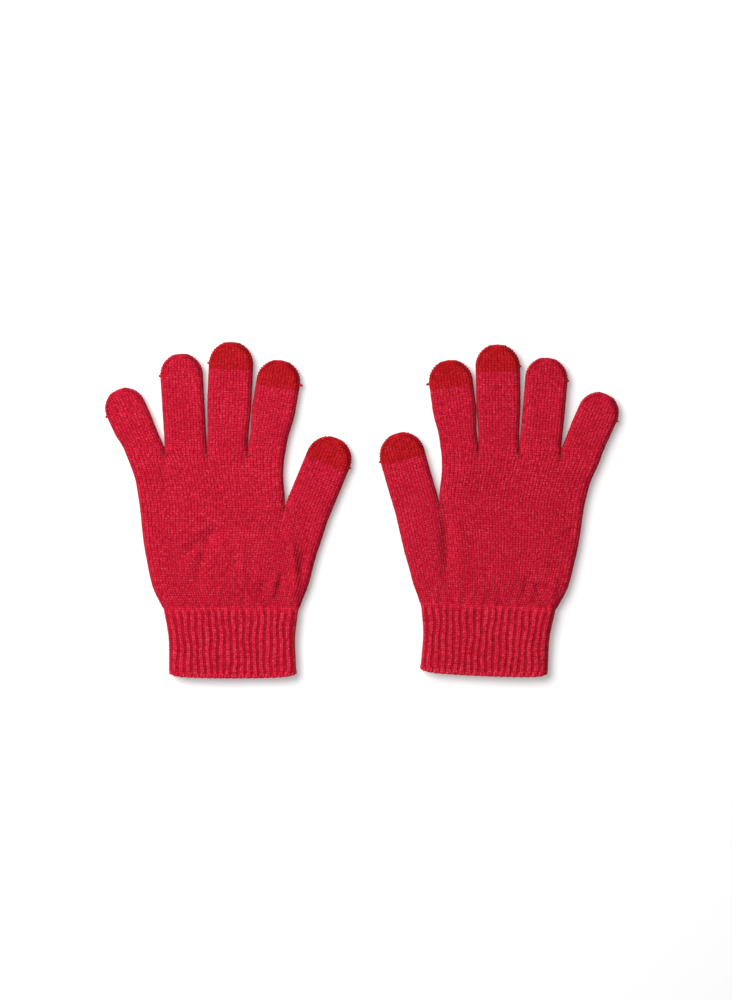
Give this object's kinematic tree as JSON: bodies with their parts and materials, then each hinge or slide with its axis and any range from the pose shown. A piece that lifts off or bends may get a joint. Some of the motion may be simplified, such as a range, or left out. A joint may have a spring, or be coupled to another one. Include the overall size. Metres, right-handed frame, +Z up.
{
  "type": "pair of knitted touch-screen gloves",
  "caption": "Pair of red knitted gloves lying flat with the palms up: ribbed cuffs, bending fingers and conductive touch-screen fingertips.",
  "frame": {"origin": "centre of the bottom of the pair's bounding box, on the surface that the gloves lie on", "axes": "+Y along the fingers, away from the cuffs; +X across the pair, from the right-hand glove to the left-hand one; +Z up, out of the palms"},
  "size_m": [0.3288, 0.2158, 0.01],
  "materials": {
    "body_yarn": "soft brushed knit, heathered crimson",
    "cuff_yarn": "one by one rib knit, heathered crimson",
    "edge_yarn": "bound-off rib edge, crimson",
    "touch_yarn": "smoother conductive knit, true red",
    "sewing_yarn": "twisted crimson yarn",
    "elastic": "thin covered elastic thread, off-white"
  },
  "bodies": {
    "right_palm_body": {"right_palm": "body_yarn", "right_crotch_stitches": "sewing_yarn"},
    "right_cuff_body": {"right_cuff": "cuff_yarn", "right_cuff_edge": "edge_yarn", "right_cuff_elastic": "elastic"},
    "right_little_base_body": {"right_little_base": "body_yarn"},
    "right_little_middle_body": {"right_little_middle": "body_yarn"},
    "right_little_end_body": {"right_little_end": "body_yarn", "right_little_tail": "sewing_yarn"},
    "right_ring_base_body": {"right_ring_base": "body_yarn"},
    "right_ring_middle_body": {"right_ring_middle": "body_yarn"},
    "right_ring_end_body": {"right_ring_end": "body_yarn", "right_ring_tail": "sewing_yarn"},
    "right_middle_base_body": {"right_middle_base": "body_yarn"},
    "right_middle_middle_body": {"right_middle_middle": "body_yarn"},
    "right_middle_end_body": {"right_middle_end": "body_yarn", "right_middle_tail": "sewing_yarn", "right_middle_touch_tip": "touch_yarn"},
    "right_index_base_body": {"right_index_base": "body_yarn"},
    "right_index_middle_body": {"right_index_middle": "body_yarn"},
    "right_index_end_body": {"right_index_end": "body_yarn", "right_index_tail": "sewing_yarn", "right_index_touch_tip": "touch_yarn"},
    "right_thumb_base_body": {"right_thumb_base": "body_yarn"},
    "right_thumb_end_body": {"right_thumb_end": "body_yarn", "right_thumb_touch_tip": "touch_yarn", "right_thumb_tail": "sewing_yarn"},
    "left_palm_body": {"left_palm": "body_yarn", "left_crotch_stitches": "sewing_yarn"},
    "left_cuff_body": {"left_cuff": "cuff_yarn", "left_cuff_edge": "edge_yarn", "left_cuff_elastic": "elastic"},
    "left_little_base_body": {"left_little_base": "body_yarn"},
    "left_little_middle_body": {"left_little_middle": "body_yarn"},
    "left_little_end_body": {"left_little_end": "body_yarn", "left_little_tail": "sewing_yarn"},
    "left_ring_base_body": {"left_ring_base": "body_yarn"},
    "left_ring_middle_body": {"left_ring_middle": "body_yarn"},
    "left_ring_end_body": {"left_ring_end": "body_yarn", "left_ring_tail": "sewing_yarn"},
    "left_middle_base_body": {"left_middle_base": "body_yarn"},
    "left_middle_middle_body": {"left_middle_middle": "body_yarn"},
    "left_middle_end_body": {"left_middle_end": "body_yarn", "left_middle_tail": "sewing_yarn", "left_middle_touch_tip": "touch_yarn"},
    "left_index_base_body": {"left_index_base": "body_yarn"},
    "left_index_middle_body": {"left_index_middle": "body_yarn"},
    "left_index_end_body": {"left_index_end": "body_yarn", "left_index_tail": "sewing_yarn", "left_index_touch_tip": "touch_yarn"},
    "left_thumb_base_body": {"left_thumb_base": "body_yarn"},
    "left_thumb_end_body": {"left_thumb_end": "body_yarn", "left_thumb_touch_tip": "touch_yarn", "left_thumb_tail": "sewing_yarn"}
  },
  "joints": [
    {"name": "right_wrist_bend", "type": "hinge", "parent": "right_palm_body", "child": "right_cuff_body", "pos_m": [-0.0822, -0.06208, 0.01], "axis": [-1, 0, 0], "range_deg": [0, 60]},
    {"name": "right_little_knuckle", "type": "hinge", "parent": "right_palm_body", "child": "right_little_base_body", "pos_m": [-0.13994, 0.03992, 0.009], "axis": [1, 0, 0], "range_deg": [0, 80]},
    {"name": "right_little_middle_bend", "type": "hinge", "parent": "right_little_base_body", "child": "right_little_middle_body", "pos_m": [-0.14463, 0.05022, 0.009], "axis": [0.91, 0.4147, 0], "range_deg": [0, 72]},
    {"name": "right_little_end_bend", "type": "hinge", "parent": "right_little_middle_body", "child": "right_little_end_body", "pos_m": [-0.1488, 0.05935, 0.009], "axis": [0.91, 0.4147, 0], "range_deg": [0, 48]},
    {"name": "right_ring_knuckle", "type": "hinge", "parent": "right_palm_body", "child": "right_ring_base_body", "pos_m": [-0.11278, 0.03992, 0.009], "axis": [1, 0, 0], "range_deg": [0, 85]},
    {"name": "right_ring_middle_bend", "type": "hinge", "parent": "right_ring_base_body", "child": "right_ring_middle_body", "pos_m": [-0.11404, 0.06054, 0.009], "axis": [0.9981, 0.061, 0], "range_deg": [0, 90]},
    {"name": "right_ring_end_bend", "type": "hinge", "parent": "right_ring_middle_body", "child": "right_ring_end_body", "pos_m": [-0.11516, 0.07884, 0.009], "axis": [0.9981, 0.061, 0], "range_deg": [0, 60]},
    {"name": "right_middle_knuckle", "type": "hinge", "parent": "right_palm_body", "child": "right_middle_base_body", "pos_m": [-0.08627, 0.03992, 0.009], "axis": [1, 0, 0], "range_deg": [0, 85]},
    {"name": "right_middle_middle_bend", "type": "hinge", "parent": "right_middle_base_body", "child": "right_middle_middle_body", "pos_m": [-0.08519, 0.06454, 0.009], "axis": [0.999, -0.0436, 0], "range_deg": [0, 90]},
    {"name": "right_middle_end_bend", "type": "hinge", "parent": "right_middle_middle_body", "child": "right_middle_end_body", "pos_m": [-0.08424, 0.08637, 0.009], "axis": [0.999, -0.0436, 0], "range_deg": [0, 60]},
    {"name": "right_index_knuckle", "type": "hinge", "parent": "right_palm_body", "child": "right_index_base_body", "pos_m": [-0.0608, 0.03992, 0.009], "axis": [1, 0, 0], "range_deg": [0, 85]},
    {"name": "right_index_middle_bend", "type": "hinge", "parent": "right_index_base_body", "child": "right_index_middle_body", "pos_m": [-0.05769, 0.05845, 0.009], "axis": [0.9863, -0.165, 0], "range_deg": [0, 90]},
    {"name": "right_index_end_bend", "type": "hinge", "parent": "right_index_middle_body", "child": "right_index_end_body", "pos_m": [-0.05494, 0.07489, 0.009], "axis": [0.9863, -0.165, 0], "range_deg": [0, 60]},
    {"name": "right_thumb_root", "type": "hinge", "parent": "right_palm_body", "child": "right_thumb_base_body", "pos_m": [-0.03502, -0.00012, 0.009], "axis": [0.9239, -0.3827, 0], "range_deg": [0, 85]},
    {"name": "right_thumb_bend", "type": "hinge", "parent": "right_thumb_base_body", "child": "right_thumb_end_body", "pos_m": [-0.02603, 0.02159, 0.009], "axis": [0.9239, -0.3827, 0], "range_deg": [0, 75]},
    {"name": "left_wrist_bend", "type": "hinge", "parent": "left_palm_body", "child": "left_cuff_body", "pos_m": [0.0794, -0.06068, 0.01], "axis": [-0.9991, 0.0419, 0], "range_deg": [0, 60]},
    {"name": "left_little_knuckle", "type": "hinge", "parent": "left_palm_body", "child": "left_little_base_body", "pos_m": [0.14077, 0.03883, 0.009], "axis": [0.9991, -0.0419, 0], "range_deg": [0, 80]},
    {"name": "left_little_middle_bend", "type": "hinge", "parent": "left_little_base_body", "child": "left_little_middle_body", "pos_m": [0.14503, 0.04822, 0.009], "axis": [0.9107, -0.4131, 0], "range_deg": [0, 72]},
    {"name": "left_little_end_bend", "type": "hinge", "parent": "left_little_middle_body", "child": "left_little_end_body", "pos_m": [0.14881, 0.05655, 0.009], "axis": [0.9107, -0.4131, 0], "range_deg": [0, 48]},
    {"name": "left_ring_knuckle", "type": "hinge", "parent": "left_palm_body", "child": "left_ring_base_body", "pos_m": [0.11423, 0.03995, 0.009], "axis": [0.9991, -0.0419, 0], "range_deg": [0, 85]},
    {"name": "left_ring_middle_bend", "type": "hinge", "parent": "left_ring_base_body", "child": "left_ring_middle_body", "pos_m": [0.11622, 0.05916, 0.009], "axis": [0.9947, -0.1028, 0], "range_deg": [0, 90]},
    {"name": "left_ring_end_bend", "type": "hinge", "parent": "left_ring_middle_body", "child": "left_ring_end_body", "pos_m": [0.11798, 0.07621, 0.009], "axis": [0.9947, -0.1028, 0], "range_deg": [0, 60]},
    {"name": "left_middle_knuckle", "type": "hinge", "parent": "left_palm_body", "child": "left_middle_base_body", "pos_m": [0.08774, 0.04106, 0.009], "axis": [0.9991, -0.0419, 0], "range_deg": [0, 85]},
    {"name": "left_middle_middle_bend", "type": "hinge", "parent": "left_middle_base_body", "child": "left_middle_middle_body", "pos_m": [0.0877, 0.06419, 0.009], "axis": [1, 0.0017, 0], "range_deg": [0, 90]},
    {"name": "left_middle_end_bend", "type": "hinge", "parent": "left_middle_middle_body", "child": "left_middle_end_body", "pos_m": [0.08766, 0.08471, 0.009], "axis": [1, 0.0017, 0], "range_deg": [0, 60]},
    {"name": "left_index_knuckle", "type": "hinge", "parent": "left_palm_body", "child": "left_index_base_body", "pos_m": [0.06229, 0.04212, 0.009], "axis": [0.9991, -0.0419, 0], "range_deg": [0, 85]},
    {"name": "left_index_middle_bend", "type": "hinge", "parent": "left_index_base_body", "child": "left_index_middle_body", "pos_m": [0.06012, 0.05951, 0.009], "axis": [0.9923, 0.1236, 0], "range_deg": [0, 90]},
    {"name": "left_index_end_bend", "type": "hinge", "parent": "left_index_middle_body", "child": "left_index_end_body", "pos_m": [0.0582, 0.07493, 0.009], "axis": [0.9923, 0.1236, 0], "range_deg": [0, 60]},
    {"name": "left_thumb_root", "type": "hinge", "parent": "left_palm_body", "child": "left_thumb_base_body", "pos_m": [0.03521, 0.00332, 0.009], "axis": [0.9558, 0.294, 0], "range_deg": [0, 85]},
    {"name": "left_thumb_bend", "type": "hinge", "parent": "left_thumb_base_body", "child": "left_thumb_end_body", "pos_m": [0.02863, 0.02469, 0.009], "axis": [0.9558, 0.294, 0], "range_deg": [0, 75]},
    {"name": "left_glove_slide", "type": "slide", "parent": "right_palm_body", "child": "left_palm_body", "axis": [1, 0, 0], "range_m": [-0.015, 0.1]}
  ],
  "couplings": [
    {"joint": "right_little_end_bend", "follows": "right_little_middle_bend", "ratio": 0.6666},
    {"joint": "right_ring_end_bend", "follows": "right_ring_middle_bend", "ratio": 0.6666},
    {"joint": "right_middle_end_bend", "follows": "right_middle_middle_bend", "ratio": 0.6666},
    {"joint": "right_index_end_bend", "follows": "right_index_middle_bend", "ratio": 0.6666},
    {"joint": "left_little_end_bend", "follows": "left_little_middle_bend", "ratio": 0.6666},
    {"joint": "left_ring_end_bend", "follows": "left_ring_middle_bend", "ratio": 0.6666},
    {"joint": "left_middle_end_bend", "follows": "left_middle_middle_bend", "ratio": 0.6666},
    {"joint": "left_index_end_bend", "follows": "left_index_middle_bend", "ratio": 0.6666}
  ]
}
